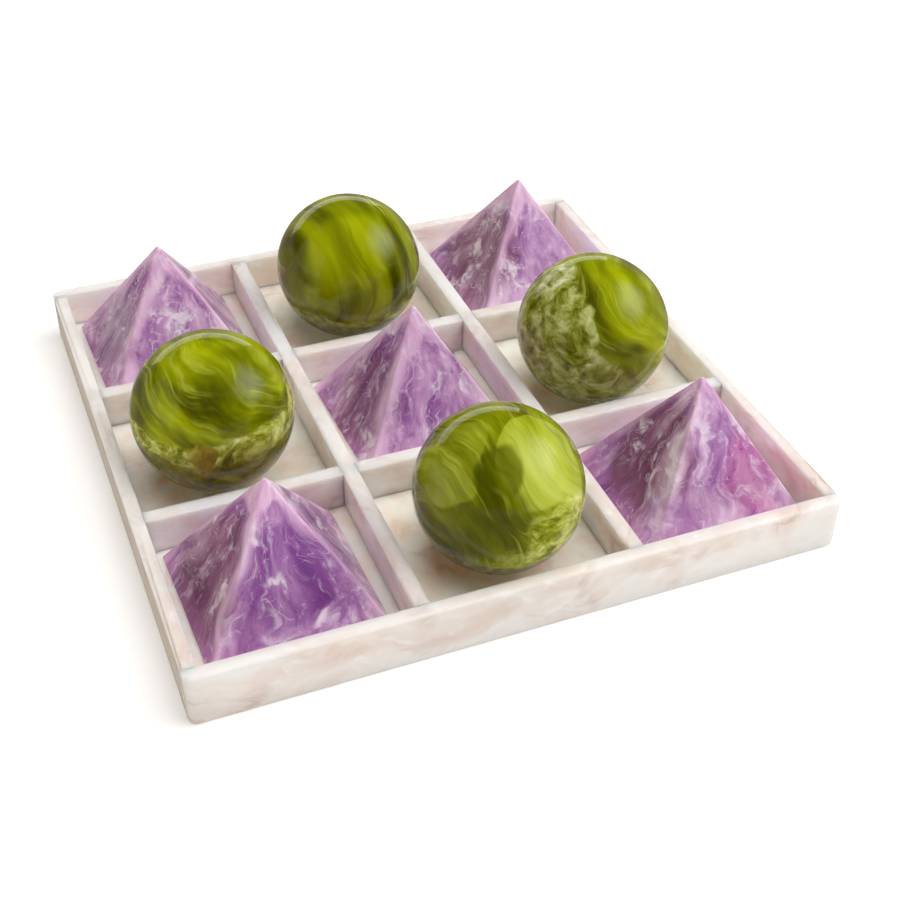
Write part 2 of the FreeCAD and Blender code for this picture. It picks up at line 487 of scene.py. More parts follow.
    def laid_over(self, below: Socket, above: Stops | str, cover: Socket, span: Span | None = None,
                  within: Socket | None = None, read_by: Socket | None = None) -> Socket:
        """One colour laid over another.

        Args:
            below: the colour so far.
            above: the colour on top, or the colour stops that it is read from.
            cover: how strongly it covers, or the height that a span turns into that.
            span: the span of heights over which the cover rises.
            within: a second cover that holds the first in.
            read_by: what the stops are read by.

        Returns:
            The colour with the new one on top.
        """
        if span is not None:
            cover = add_node(self.tree, "ShaderNodeMapRange", span.inputs(cover),
                             interpolation_type="SMOOTHSTEP").outputs["Result"]
        if within is not None:
            cover = add_node(self.tree, "ShaderNodeMath", {0: cover, 1: within},
                             operation="MULTIPLY").outputs[0]
        top = linear(above) if isinstance(above, str) else add_node(
            self.tree, "ShaderNodeValToRGB", {"Fac": read_by}, stops=above).outputs["Color"]
        return add_node(self.tree, "ShaderNodeMix", {0: cover, 6: below, 7: top},
                        data_type="RGBA").outputs[2]


@dataclass(frozen=True)
class Pool:
    """A round pool of another pour, with the ragged edge that stirring gives it.

    It covers in full up to its core, and not at all from its reach.
    """

    place: tuple[float, float, float]
    reach: float
    core: float
    stops: Stops
    strength: float = 1.0

    def cover(self, marbling: Marbling, point: Socket) -> Socket:
        """How strongly the pool covers a point.

        Args:
            marbling: the piece's marbling.
            point: where to read it.

        Returns:
            The cover, from 0 to the pool's strength.
        """
        away = add_node(marbling.tree, "ShaderNodeVectorMath", {0: point, 1: self.place},
                        operation="DISTANCE").outputs["Value"]
        span = Span(self.reach, self.core, self.strength)
        return add_node(marbling.tree, "ShaderNodeMapRange", span.inputs(away),
                        interpolation_type="SMOOTHSTEP").outputs["Result"]


@dataclass(frozen=True)
class Band:
    """A level band of another pour, at heights measured from the piece's middle.

    It rises from its start to its full height. With an end, it falls again from where it is still
    full; without one, it carries on.
    """

    start: float
    full: float
    stops: Stops
    still_full: float | None = None
    end: float | None = None
    strength: float = 1.0

    def cover(self, marbling: Marbling, point: Socket) -> Socket:
        """How strongly the band covers a point.

        Args:
            marbling: the piece's marbling.
            point: where to read it.

        Returns:
            The cover, from 0 to the band's strength.
        """
        height = add_node(marbling.tree, "ShaderNodeSeparateXYZ", {"Vector": point}).outputs["Z"]
        rise = add_node(marbling.tree, "ShaderNodeMapRange",
                        Span(self.start, self.full, self.strength).inputs(height),
                        interpolation_type="SMOOTHSTEP").outputs["Result"]
        if self.end is None or self.still_full is None:
            return rise
        fall = add_node(marbling.tree, "ShaderNodeMapRange", Span(self.end, self.still_full).inputs(height),
                        interpolation_type="SMOOTHSTEP").outputs["Result"]
        return add_node(marbling.tree, "ShaderNodeMath", {0: rise, 1: fall}, operation="MULTIPLY").outputs[0]


@dataclass(frozen=True)
class CastResin:
    """Cast polyester resin, marbled as it was poured, then sanded and buffed to a gloss.

    To the eye it is glossy and a little soft: the refractive index is near cast polyester's 1.54, and
    the reflections are crisp but weak, as through a thin buffed wax. Light goes a few millimetres
    deep, which softens shadows and edges. The polishing lines themselves are too fine to show, so
    the bump is the broad waviness that a buffing wheel leaves.
    """

    seed: float
    name: str = "cast polyester resin, polished"
    ior: float = 1.5
    specular: float = 0.35
    roughness: float = 0.08
    depth: float = 0.15
    depth_radius: tuple[float, float, float] = (1.0, 0.6, 0.45)
    depth_mm: float = 3.0
    ripple_mm: float = 0.02
    ripple_size: float = 9.0

    def colour(self, marbling: Marbling) -> Socket:
        """The colour all over the surface; each resin draws its own."""
        raise NotImplementedError

    def build(self, piece: str, centre: Vector, turn_deg: float = 0.0) -> bpy.types.Material:
        """Make the material for one piece.

        Args:
            piece: the piece's name.
            centre: the middle of the piece, in metres.
            turn_deg: how far the piece lies turned about the upright.

        Returns:
            The new material.
        """
        material = bpy.data.materials.new(f"{self.name}, {piece}")
        material.use_nodes = True
        tree = material.node_tree
        tree.nodes.clear()
        marbling = Marbling(tree, centre, self.seed, turn_deg)
        buffing = marbling.lumps(marbling.point, Layer.BUFFING, size=self.ripple_size, detail=2.0)
        ripple = add_node(tree, "ShaderNodeBump", {
            "Height": buffing, "Strength": 1.0, "Distance": self.ripple_mm * MM,
        })
        shader = add_node(tree, "ShaderNodeBsdfPrincipled", {
            "Base Color": self.colour(marbling),
            "Roughness": self.roughness,
            "IOR": self.ior,
            "Specular IOR Level": self.specular,
            "Subsurface Weight": self.depth,
            "Subsurface Radius": self.depth_radius,
            "Subsurface Scale": self.depth_mm * MM,
            "Normal": ripple.outputs["Normal"],
        })
        add_node(tree, "ShaderNodeOutputMaterial", {"Surface": shader.outputs["BSDF"]})
        return material


@dataclass(frozen=True)
class MilkyResin(CastResin):
    """White resin with soft rose and beige clouds, drawn out along the slab, and a few thin veins.

    To the eye the slabs are bright and translucent, like alabaster. Light goes almost a centimetre
    deep and comes back nearly white, so that their corners and shaded sides never look dark.
    """

    name: str = "cast polyester resin, milky white, polished"
    depth: float = 1.0
    depth_mm: float = 9.0
    depth_radius: tuple[float, float, float] = (1.0, 0.93, 0.84)
    turn: tuple[float, float, float] = (0.0, 0.0, 0.0)
    stretch: float = 3.0
    veins: float = 0.35
    stops: Stops = MILKY

    def colour(self, marbling: Marbling) -> Socket:
        """Long clouds, then whiter folds, then rose patches and thin rose-brown veins here and there.

        Args:
            marbling: the slab's marbling.

        Returns:
            The colour.
        """
        wide = marbling.stirred(marbling.point, Layer.WIDE_STIR, size=40.0, reach=14.0)
        fine = marbling.stirred(wide, Layer.FINE_STIR, size=10.0, reach=4.0)
        run = add_node(marbling.tree, "ShaderNodeMapping", {
            "Vector": fine, "Rotation": tuple(math.radians(angle) for angle in self.turn),
            "Scale": (1.0, 1.0, self.stretch),
        }, vector_type="TEXTURE").outputs["Vector"]
        clouds = marbling.lumps(run, Layer.BODY, size=15.0, detail=5.0)
        colour = add_node(marbling.tree, "ShaderNodeValToRGB", {"Fac": clouds},
                          stops=self.stops).outputs["Color"]
        folds = marbling.lumps(run, Layer.FOLDS, size=6.0, detail=6.0, roughness=0.62)
        colour = marbling.laid_over(colour, "#FDFBF9", folds, Span(0.50, 0.70, 0.7))
        rose = marbling.patches(wide, Layer.ROSE, size=30.0, detail=2.0, span=Span(0.52, 0.72, 0.45))
        colour = marbling.laid_over(colour, "#E2D2CB", rose)
        here = marbling.patches(marbling.point, Layer.VEINED, size=30.0, detail=2.0,
                                span=Span(0.50, 0.70, self.veins))
        veins = marbling.threads(run, Layer.VEINS, size=14.0, detail=5.0, width=0.05)
        return marbling.laid_over(colour, "#B79C90", veins, within=here)


@dataclass(frozen=True)
class VioletResin(CastResin):
    """Violet resin poured in at the tip, with milky wisps and white strands that fan down from there.

    To the eye the faces are deep violet under brushed white. Light goes a few millimetres deep, and
    the ridges and the tip, where the resin is thin, are painted pale rose as a glow of light coming through.
    """

    name: str = "cast polyester resin, violet and white, polished"
    depth: float = 0.3
    depth_mm: float = 3.5
    depth_radius: tuple[float, float, float] = (1.0, 0.5, 0.7)
    whiteness: float = 0.5
    # How strongly the painted glow covers the tip and the ridges.
    tip: float = 0.6
    ridge_glow: float = 0.8
    source: tuple[float, float, float] = (0.0, 0.0, 36.0)
    ridge_reach: float = 6.5
    ridge_core: float = 0.5
    fan_width: float = 45.0
    stops: Stops = LILAC
    # Pools of other pours, with painted shade and painted glow among them.
    pools_and_painted_light: tuple[Pool | Band, ...] = ()
    puffs: tuple[Pool | Band, ...] = ()

    def colour(self, marbling: Marbling) -> Socket:
        """Fanned body colour, other pours with painted shade, brushed fibres, white curls and threads, then
        the painted glow on the edges.

        Args:
            marbling: the pyramid's marbling.

        Returns:
            The colour.
        """
        wide = marbling.stirred(marbling.point, Layer.WIDE_STIR, size=26.0, reach=10.0)
        fine = marbling.stirred(wide, Layer.FINE_STIR, size=9.0, reach=5.0)
        curls = marbling.stirred(fine, Layer.CURL_STIR, size=4.0, reach=2.0)
        strands = marbling.fanned(wide, self.source, self.fan_width, stretch=3.0)
        grain = marbling.lumps(strands, Layer.BODY, size=15.0, detail=5.0, roughness=0.55)
        colour = add_node(marbling.tree, "ShaderNodeValToRGB", {"Fac": grain},
                          stops=self.stops).outputs["Color"]
        # The pools lay painted shade on the left faces, and one lays a painted glow at a tip.
        for pool in self.pools_and_painted_light:
            colour = marbling.laid_over(colour, pool.stops, pool.cover(marbling, curls), read_by=grain)
        foot = Band(-20.0, -34.0, ROSE_FOOT, strength=0.45)
        colour = marbling.laid_over(colour, foot.stops, foot.cover(marbling, wide), read_by=grain)
        hairs = marbling.fanned(fine, self.source, self.fan_width, stretch=8.0)
        fibres = marbling.lumps(hairs, Layer.FIBRES, size=3.2, detail=6.0, roughness=0.65)
        colour = marbling.laid_over(colour, "#F0E0F2", fibres, Span(0.50, 0.70, 0.55))
        colour = marbling.laid_over(colour, "#74387E", fibres, Span(0.46, 0.30, 0.38))
        creases = marbling.threads(fine, Layer.CREASES, size=10.0, detail=3.0, width=0.012)
        colour = marbling.laid_over(colour, "#6A2E6E", fibres, Span(0.47, 0.40, 0.4), within=creases)
        lower = 0.16 * self.whiteness  # a whiter pour is milky from a lower height in the noise
        milk = marbling.patches(fine, Layer.MILK, size=20.0, detail=3.0,
                                span=Span(0.60 - lower, 0.70 - lower))
        froth = marbling.lumps(curls, Layer.FROTH, size=9.0, detail=7.0, roughness=0.62)
        colour = marbling.laid_over(colour, "#F4E9F6", froth, Span(0.48, 0.64, 0.8), within=milk)
        for puff in self.puffs:
            colour = marbling.laid_over(colour, puff.stops, puff.cover(marbling, curls), read_by=froth)
        white = Span(0.48, 0.58, 0.2 + 0.45 * self.whiteness)
        for layer, size in ((Layer.WIDE_LINES, 14.0), (Layer.NARROW_LINES, 6.0)):
            lines = marbling.threads(fine, layer, size, detail=2.0, width=0.016)
            colour = marbling.laid_over(colour, "#F8EFF8", froth, white, within=lines)
        return self.painted_glow_edges(marbling, colour, wide, grain)

    def painted_glow_edges(self, marbling: Marbling, colour: Socket, point: Socket, grain: Socket) -> Socket:
        """Painted glow: pale rose painted along the four ridges and at the tip, for light coming through the
        thin resin.

        A ridge is where the point lies as far across as it lies deep.

        Args:
            marbling: the pyramid's marbling.
            colour: the colour so far.
            point: where to read how high up the tip begins.
            grain: what the pale rose is read by.

        Returns:
            The colour with its painted glow on the ridges and the tip.
        """
        size = add_node(marbling.tree, "ShaderNodeVectorMath", {0: point}, operation="ABSOLUTE").outputs[0]
        apart = add_node(marbling.tree, "ShaderNodeVectorMath", {0: size, 1: (1.0, -1.0, 0.0)},
                         operation="DOT_PRODUCT").outputs["Value"]
        off_ridge = add_node(marbling.tree, "ShaderNodeMath", {0: apart}, operation="ABSOLUTE").outputs[0]
        # Painted glow along the ridges and at the tip.
        edge = Span(self.ridge_reach, self.ridge_core, self.ridge_glow)
        colour = marbling.laid_over(colour, GLOW_ROSE, off_ridge, edge, read_by=grain)
        tip = Band(14.0, 30.0, GLOW_ROSE, strength=self.tip)
        return marbling.laid_over(colour, tip.stops, tip.cover(marbling, point), read_by=grain)


@dataclass(frozen=True)
class OliveResin(CastResin):
    """Olive green resin, deep and glossy, with long combed streaks, milky froth, painted shade and a few dark
    specks.

    To the eye it is the glossiest and the deepest of the three, like polished jade. Light hardly goes
    in, so that its shaded side is dark and its reflections stand out.
    """

    name: str = "cast polyester resin, olive green, polished"
    roughness: float = 0.05
    depth: float = 0.08
    axis: tuple[float, float, float] = (1.0, 0.0, 0.0)
    stretch: float = 3.0
    swirl: float = 14.0
    comb_stretch: float = 8.0
    speck_spacing: float = 28.0
    stops: Stops = OLIVE
    # Veil pours, with painted shade among them.
    veils_and_shade: tuple[Pool | Band, ...] = ()
    # Froth pours, and bands of painted shade low down.
    froths_and_shade: tuple[Pool | Band, ...] = ()

    def colour(self, marbling: Marbling) -> Socket:
        """Long streaks and smooth veil pours, fine combed streaks over both, froth, painted shade, a few
        specks.

        Args:
            marbling: the ball's marbling.

        Returns:
            The colour.
        """
        wide = marbling.stirred(marbling.point, Layer.WIDE_STIR, size=46.0, reach=self.swirl)
        soft = marbling.stirred(wide, Layer.SOFT_STIR, size=18.0, reach=5.0)
        sheets = marbling.in_sheets(wide, self.axis, self.stretch)
        broad = marbling.lumps(sheets, Layer.BODY, size=16.0, detail=4.0)
        colour = add_node(marbling.tree, "ShaderNodeValToRGB", {"Fac": broad},
                          stops=self.stops).outputs["Color"]
        # The veil pours, with painted shade among them.
        for veil in self.veils_and_shade:
            colour = marbling.laid_over(colour, veil.stops, veil.cover(marbling, soft), read_by=broad)
        thin_sheets = marbling.in_sheets(soft, self.axis, self.comb_stretch * self.stretch)
        combed = marbling.lumps(thin_sheets, Layer.COMBED, size=2.4, detail=3.0, roughness=0.6)
        here = marbling.patches(soft, Layer.COMBED_PATCHES, size=24.0, detail=2.0, span=Span(0.40, 0.58))
        colour = marbling.laid_over(colour, "#C2CA44", combed, Span(0.50, 0.70, 0.5), within=here)
        colour = marbling.laid_over(colour, "#3E4200", combed, Span(0.47, 0.28, 0.4))
        loose = marbling.stirred(wide, Layer.FINE_STIR, size=10.0, reach=5.0)
        curds = marbling.stirred(loose, Layer.CURL_STIR, size=3.6, reach=1.8)
        froth = marbling.lumps(curds, Layer.FROTH, size=6.5, detail=7.0, roughness=0.64)
        # Froth pours, then the bands of painted shade low down.
        for pool in self.froths_and_shade:
            colour = marbling.laid_over(colour, pool.stops, pool.cover(marbling, curds), read_by=froth)
        specks = add_node(marbling.tree, "ShaderNodeTexVoronoi", {
            "Vector": marbling.point, "Scale": 1 / self.speck_spacing,
        }).outputs["Distance"]
        return marbling.laid_over(colour, "#343402", specks, Span(0.05, 0.03, 0.7))


# ---------------------------------------------------------------- the set's pieces

@dataclass
class Slab:
    """One bonded slab of the tray, with its long edges eased and its upright corners rounded."""

    node: str
    finish: MilkyResin
    corners: tuple[float, float, float, float]
    eases: tuple[float, float, float, float]
    arc_steps: int = 6
    flat_steps: int = 20
    side_steps: int = 6

    def rings(self) -> np.ndarray:
        """The slab's skin as rings from its underside to its top.

        With r the radius of an eased edge and a the angle that runs over it, the outline is drawn in
        by r(1 - cos a) and moved by r(1 - sin a) from the level of the face. On a face the rings are
        its edge, scaled down towards the pole in its middle.

        Returns:
            The rings' points, in metres in the frame.
        """
        low, high = (np.array(corner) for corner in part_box(self.node))
        middle = (low + high) / 2
        half = (high - low)[:2] / 2
        outline, normals, radii = rounded_outline(half, self.corners, self.eases, self.arc_steps,
                                                  self.flat_steps)
        angles = np.linspace(math.pi / 2, 0.0, self.arc_steps + 1)[:, None]
        drawn_in = outline - (radii * (1 - np.cos(angles)))[..., None] * normals
        rise = radii * (1 - np.sin(angles))
        lower = np.concatenate([drawn_in, (low[2] + rise)[..., None]], axis=2)
        upper = np.concatenate([drawn_in, (high[2] - rise)[..., None]], axis=2)[::-1]
        levels = flat_stations(self.side_steps)[:, None, None]
        sides = lower[-1:] + levels * (upper[:1] - lower[-1:])
        face = np.array([(share, share, 1.0) for share in FACE_SHARES])[:, None, :]
        rings = np.concatenate([lower[:1] * face, lower, sides, upper, upper[-1:] * face[::-1]])
        return rings + np.array([middle[0], middle[1], 0.0])


@dataclass
class Tray:
    """The square tray: a floor slab, four walls and eight dividers, bonded into one body.

    The outer edges are eased as a hand would meet them, the inner ones less, and the edges at a
    bond only enough to show the seam.
    """

    body: str = "tray"
    outer_corner: float = 4.0 * MM
    outer_ease: float = 1.2 * MM
    inner_ease: float = 0.6 * MM
    bond_ease: float = 0.25 * MM
    seed_step: float = 3.0

    def slab(self, node: str, number: int, outer: Side | None, run: Run) -> Slab:
        """One slab, with its edges eased for where it stands in the tray.

        Args:
            node: the CAD node that it stands for.
            number: its number, which picks its part of the marbling.
            outer: the side that faces outwards, or None inside the tray.
            run: the way that it runs.

        Returns:
            The slab.
        """
        ends = (Side.LEFT, Side.RIGHT) if run is Run.ACROSS else (Side.FRONT, Side.BACK)
        eases = [self.bond_ease if side in ends else self.inner_ease for side in Side]
        corners = [self.inner_ease] * len(Side)
        if outer is not None:
            eases[outer.value] = self.outer_ease
            if run is Run.ACROSS:
                for side in ends:
                    eases[side.value] = self.outer_ease
                corners = [self.outer_ease] * len(Side)
                corners[outer.value] = self.outer_corner
                corners[(outer.value + 1) % len(Side)] = self.outer_corner
        turn = (0.0, 90.0, 0.0) if run is Run.ACROSS else (90.0, 0.0, 0.0)
        finish = MilkyResin(seed=self.seed_step * number, turn=turn)
        return Slab(node, finish, tuple(corners), tuple(eases))

    def slabs(self) -> list[Slab]:
        """Every slab of the tray, floor first, with its number picking its part of the marbling.

        Returns:
            The 13 slabs.
        """
        bonded = (self.bond_ease,) * len(Side)
        # The floor slab's warmer white is painted shade, for the warm shade inside the cells.
        floor = Slab("base_panel", MilkyResin(seed=0.0, stops=WARM_SHADE_WHITE), bonded, bonded, flat_steps=40)
        plan = [("wall_front", Side.FRONT, Run.ACROSS), ("wall_back", Side.BACK, Run.ACROSS),
                ("wall_left", Side.LEFT, Run.DEEP), ("wall_right", Side.RIGHT, Run.DEEP),
                ("divider_long_left", None, Run.DEEP), ("divider_long_right", None, Run.DEEP)]
        for end in ("front", "back"):
            plan += [(f"divider_{end}_{place}", None, Run.ACROSS) for place in ("left", "middle", "right")]
        return [floor] + [self.slab(node, number, outer, run)
                          for number, (node, outer, run) in enumerate(plan, start=1)]

    def build(self) -> None:
        """Make every slab and hand it to the tray's body."""
        for slab in self.slabs():
            middle = sum(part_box(slab.node), Vector()) / 2
            material = slab.finish.build(slab.node, middle)
            piece = add_piece(f"{slab.node}_resin", slab.rings(), material)
            hand_over(piece, slab.node, self.body)


@dataclass
class Pyramid:
    """A solid square pyramid, with eased edges and a rounded tip."""

    node: str
    finish: VioletResin
    turn_deg: float
    ease: float = 0.7 * MM
    ridge: float = 0.9 * MM
    base: float = 81.0 * MM
    height: float = 64.0 * MM
    tip: float = 1.4 * MM
    wander: float = 0.05 * MM
    wander_wave: float = 45.0 * MM
    arc_steps: int = 6
    flat_steps: int = 28

    def profile(self) -> np.ndarray:
        """Half the pyramid's side against its height, from its underside up over its tip.

        With n the sloping face's outward normal, the foot's arc has radius e and a centre e above
        the base and e inside the slope. The tip's arc is centred on the axis, and its radius is the
        one that touches both the slope and the full height.

        Returns:
            Pairs of half side and height, in metres from the middle of the base.
        """
        half, top = self.base / 2, self.tip / 2
        normal = np.array([self.height, half - top]) / math.hypot(self.height, half - top)
        slope_angle = math.atan2(normal[1], normal[0])
        foot_centre = np.array([half - self.ease * (1 + normal[1]) / normal[0], self.ease])
        apex = half * normal[0] / normal[1]
        tip_radius = (apex - self.height) / (1 / normal[1] - 1)
        tip_centre = np.array([0.0, self.height - tip_radius])
        foot = np.linspace(-math.pi / 2, slope_angle, self.arc_steps + 1)
        crown = np.linspace(slope_angle, math.pi / 2, self.arc_steps + 1)[:-1]
        foot_arc = foot_centre + self.ease * np.stack([np.cos(foot), np.sin(foot)], axis=1)
        crown_arc = tip_centre + tip_radius * np.stack([np.cos(crown), np.sin(crown)], axis=1)
        slope = foot_arc[-1] + flat_stations(self.flat_steps)[:, None] * (crown_arc[0] - foot_arc[-1])
        under = foot_arc[:1] * np.array([(share, 1.0) for share in FACE_SHARES])
        return np.concatenate([under, foot_arc, slope, crown_arc])

    def rings(self) -> np.ndarray:
        """The pyramid's skin: at each height, a square of that half side with its corners rounded.

        With t the turn about the upright, (x, y) becomes (x cos t - y sin t, x sin t + y cos t).

        Returns:
            The rings' points, in metres in the frame.
        """
        low, high = (np.array(corner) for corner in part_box(self.node))
        middle = (low + high) / 2
        rings = []
        for half, height in self.profile():
            corner = min(self.ridge, half)
            outline = rounded_outline((half, half), (corner,) * 4, (0.0,) * 4, self.arc_steps,
                                      self.flat_steps)[0]
            rings.append(np.column_stack([outline, np.full(len(outline), height)]))
        turn = math.radians(self.turn_deg)
        turned = np.array([[math.cos(turn), math.sin(turn), 0.0],
                           [-math.sin(turn), math.cos(turn), 0.0], [0.0, 0.0, 1.0]])
        return np.array(rings) @ turned + np.array([middle[0], middle[1], low[2]])

    def build(self, number: int) -> None:
        """Make the pyramid and hand it to its own body.

        Args:
            number: the draw of its hand finishing.
        """
        low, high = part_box(self.node)
        material = self.finish.build(self.node, (low + high) / 2, self.turn_deg)
        rings = hand_finished(self.rings(), self.wander, self.wander_wave, number)
        hand_over(add_piece(f"{self.node}_resin", rings, material), self.node, self.node)


@dataclass
class Ball:
    """A solid ball, turned and buffed by hand."""

    node: str
    finish: OliveResin
    wander: float = 0.04 * MM
    wander_wave: float = 30.0 * MM
    rings_up: int = 96
    points_round: int = 192

    def rings(self) -> np.ndarray:
        """The ball's skin, in rings from its lowest point to its highest.

        With a the angle up from the lowest point and b the angle round, a point lies the radius times
        (sin a cos b, sin a sin b, -cos a) from the centre.

        Returns:
            The rings' points, in metres in the frame.
        """
        low, high = (np.array(corner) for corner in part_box(self.node))
        middle, radius = (low + high) / 2, (high[2] - low[2]) / 2
        upward = np.linspace(0.0, math.pi, self.rings_up + 1)[1:-1, None]
        around = np.linspace(0.0, 2 * math.pi, self.points_round, endpoint=False)[None, :]
        skin = np.stack([np.sin(upward) * np.cos(around), np.sin(upward) * np.sin(around),
                         -np.cos(upward) * np.ones_like(around)], axis=-1)
        return middle + radius * skin

    def build(self, number: int) -> None:
        """Make the ball and hand it to its own body.

        Args:
            number: the draw of its hand finishing.
        """
        low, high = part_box(self.node)
        material = self.finish.build(self.node, (low + high) / 2)
        rings = hand_finished(self.rings(), self.wander, self.wander_wave, number)
        hand_over(add_piece(f"{self.node}_resin", rings, material), self.node, self.node)


def hand_over(piece: bpy.types.Object, node: str, body: str) -> None:
    """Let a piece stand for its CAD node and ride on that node's body.

    Args:
        piece: the finished piece.
        node: the CAD node that it stands for.
        body: the body that it rides on.
    """
    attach(piece, body)
    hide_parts(node)
    LOG.info("%s stands for %s on body %s, with %d faces", piece.name, node, body, len(piece.data.polygons))


def pyramids() -> list[Pyramid]:
    """The five pyramids, each with its own pour, painted shade on its left face and its own turn in its cell.

    Each pool's place is in millimetres from its pyramid's middle, square to the pyramid.

    Returns:
        The pyramids, front ones first.
    """
    # Painted glow: a band of pale rose at the front left pyramid's tip.
    tip = Band(18.0, 21.0, TIP_GLOW_ROSE)
    front_left = VioletResin(
        seed=11.0, whiteness=0.30, tip=0.5, stops=VIOLET,
        # The plum pool is painted shade on the left face; the tip band is painted glow.
        pools_and_painted_light=(Pool((-34.0, -2.0, -6.0), 34.0, 24.0, PAINTED_SHADE_PLUM, 0.75),
               Pool((-2.0, -28.0, 0.0), 24.0, 18.0, DEEP_VIOLET, 0.85), tip),
        puffs=(Pool((13.0, -38.0, -24.0), 11.0, 7.0, WHITE_PUFF, 0.9),
               Pool((-6.0, -38.0, -28.0), 12.0, 6.0, WHITE_PUFF, 0.6)))
    front_right = VioletResin(
        seed=23.0, whiteness=0.35, tip=0.3, ridge_glow=0.5,
        # The plum pool is painted shade on the left face.
        pools_and_painted_light=(Pool((-34.0, -2.0, 0.0), 34.0, 24.0, PAINTED_SHADE_PLUM, 0.9),
               Pool((38.0, -30.0, -10.0), 42.0, 30.0, MAGENTA, 0.85)),
        puffs=(Pool((-30.0, -26.0, -16.0), 13.0, 8.0, WHITE_PUFF, 0.6),
               Pool((30.0, -32.0, -22.0), 12.0, 8.0, WHITE_PUFF, 0.6)))
    # Its plum pool is painted shade on the left face.
    centre = VioletResin(seed=37.0, whiteness=0.65, pools_and_painted_light=(Pool((-34.0, -4.0, -8.0), 34.0, 18.0, PAINTED_SHADE_PLUM, 0.7),))
    # Its grey lilac pool is painted shade with a painted grey reflection haze, on the left face.
    back_left = VioletResin(seed=41.0, whiteness=0.70,
                            pools_and_painted_light=(Pool((-32.0, 0.0, -8.0), 30.0, 14.0, PAINTED_SHADE_GREY_LILAC, 0.7),))
    # Its plum pool is painted shade on the left face.
    back_right = VioletResin(seed=59.0, whiteness=0.70, ridge_glow=0.7, stops=PALE_LILAC,
                             pools_and_painted_light=(Pool((-34.0, -4.0, -6.0), 38.0, 24.0, PAINTED_SHADE_PLUM, 0.85),))
    return [
        Pyramid("pyramid_front_left", front_left, 1.5),
        Pyramid("pyramid_front_right", front_right, 0.5),
        Pyramid("pyramid_centre", centre, 2.0),
        Pyramid("pyramid_back_left", back_left, 1.5),
        Pyramid("pyramid_back_right", back_right, 3.0),
    ]


def balls() -> list[Ball]:
    """The four balls, each with its own pour; three have painted shade low down.

    Each pool's place is in millimetres from its ball's centre.

    Returns:
        The balls, the front one first.
    """
    front = OliveResin(
        seed=5.0, axis=(1.0, 0.3, 0.35),
        # Painted shade: the first dark olive pool, low on the left side.
        veils_and_shade=(Pool((-32.0, -16.0, 6.0), 30.0, 20.0, DARK_OLIVE, 0.8),
               Pool((-25.0, -5.0, 28.0), 20.0, 18.5, LIME_VEIL, 0.5),
               Pool((14.0, -20.0, 28.0), 22.0, 20.5, LIME_VEIL, 0.9),
               Pool((-8.0, -24.0, 28.0), 13.0, 10.0, DARK_OLIVE, 0.75),
               # Painted shade: this dark olive pool, low on the front as the camera sees it.
               Pool((-12.0, -34.0, 8.0), 22.0, 17.0, DARK_OLIVE, 0.8)),
        froths_and_shade=(Pool((14.0, -34.0, -2.0), 20.0, 14.0, FROTH, 0.8),
                Pool((-6.0, -34.0, -16.0), 16.0, 9.0, FROTH, 0.45),
                # The brown olive band is painted shade, darker towards the bottom.
                Band(-10.0, -18.0, PAINTED_SHADE_OLIVE, strength=0.7)))
    left = OliveResin(
        seed=17.0, axis=(0.7, 0.0, 1.0), stretch=2.0,
        veils_and_shade=(Pool((-30.0, -6.0, 22.0), 16.0, 10.0, DARK_OLIVE, 0.6),
               Pool((4.0, -24.0, 28.0), 20.0, 12.0, DARK_OLIVE, 0.5)),
        # The brown olive band is painted shade, darker towards the bottom.
        froths_and_shade=(Band(2.0, -4.0, PAINTED_SHADE_OLIVE, strength=0.8), Band(10.0, 7.0, FROTH, 0.0, -4.0, 0.95),
                Pool((-12.0, -36.0, 2.0), 9.0, 6.0, AMBER, 0.95)))
    right = OliveResin(
        seed=29.0, axis=(0.8, -0.2, 0.7),
        veils_and_shade=(Pool((14.0, -26.0, 22.0), 24.0, 14.0, LIME, 0.7),),
        froths_and_shade=(Pool((-35.0, -11.0, 9.0), 33.5, 31.5, GREY_FROTH, 0.95),
                Pool((-20.0, -30.0, -10.0), 25.0, 22.5, GREY_FROTH, 0.75),
                Pool((-22.0, 4.0, 30.0), 12.0, 9.0, PALE_FROTH, 0.8)))
    back = OliveResin(
        seed=43.0, axis=(1.0, 0.3, 0.0), swirl=9.0, stretch=4.0,
        veils_and_shade=(Pool((-8.0, -26.0, 27.0), 26.0, 14.0, LIME, 0.8),
               Pool((4.0, 2.0, 38.0), 20.0, 12.0, DARK_OLIVE, 0.6)),
        # The brown olive band is painted shade, darker towards the bottom.
        froths_and_shade=(Band(-4.0, -14.0, PAINTED_SHADE_OLIVE, strength=0.75), Band(-8.0, -12.0, FROTH, -16.0, -22.0, 0.5)))
    pours = {"ball_front": front, "ball_left": left, "ball_right": right, "ball_back": back}
    return [Ball(node, pour) for node, pour in pours.items()]


# ---------------------------------------------------------------- studio

